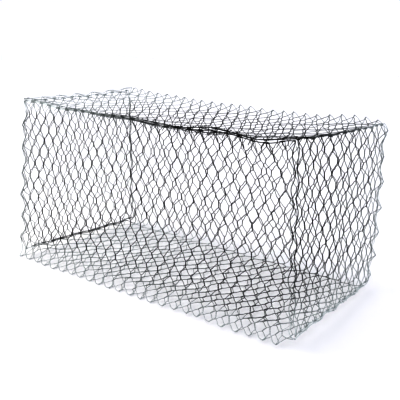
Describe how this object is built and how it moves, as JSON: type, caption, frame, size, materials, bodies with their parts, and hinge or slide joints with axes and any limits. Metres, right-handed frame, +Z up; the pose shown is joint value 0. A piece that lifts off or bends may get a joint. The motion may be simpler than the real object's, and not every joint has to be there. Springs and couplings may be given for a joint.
{
  "type": "gabion basket",
  "caption": "Empty rectangular wire basket for rock fill, in double-twist hexagonal mesh with thicker edge wires, laced corners and a lid that folds open.",
  "frame": {"origin": "middle of the underside, on the surface that the basket stands on", "axes": "+X along the basket's length, +Y from the front panel to the back panel, +Z up"},
  "size_m": [2.0058, 1.0058, 1.0028],
  "materials": {
    "mesh_wire": "galvanised steel wire, weathered dark grey, semi-matt",
    "edge_wire": "thicker galvanised steel wire, weathered dark grey",
    "lacing_wire": "thin galvanised binding wire, dark grey"
  },
  "bodies": {
    "basket": {"body_mesh": "mesh_wire", "left_end_mesh": "mesh_wire", "right_end_mesh": "mesh_wire", "front_top_selvedge": "edge_wire", "left_body_edge_wire": "edge_wire", "right_body_edge_wire": "edge_wire", "left_end_edge_wire": "edge_wire", "right_end_edge_wire": "edge_wire", "left_front_lacing": "lacing_wire", "left_back_lacing": "lacing_wire", "left_base_lacing": "lacing_wire", "right_front_lacing": "lacing_wire", "right_back_lacing": "lacing_wire", "right_base_lacing": "lacing_wire"},
    "lid": {"lid_mesh": "mesh_wire", "lid_front_selvedge": "edge_wire", "left_lid_edge_wire": "edge_wire", "right_lid_edge_wire": "edge_wire"}
  },
  "joints": [
    {"name": "lid_fold", "type": "hinge", "parent": "basket", "child": "lid", "pos_m": [0, 0.49074, 0.99074], "axis": [-1, 0, 0], "range_deg": [0, 180]}
  ]
}
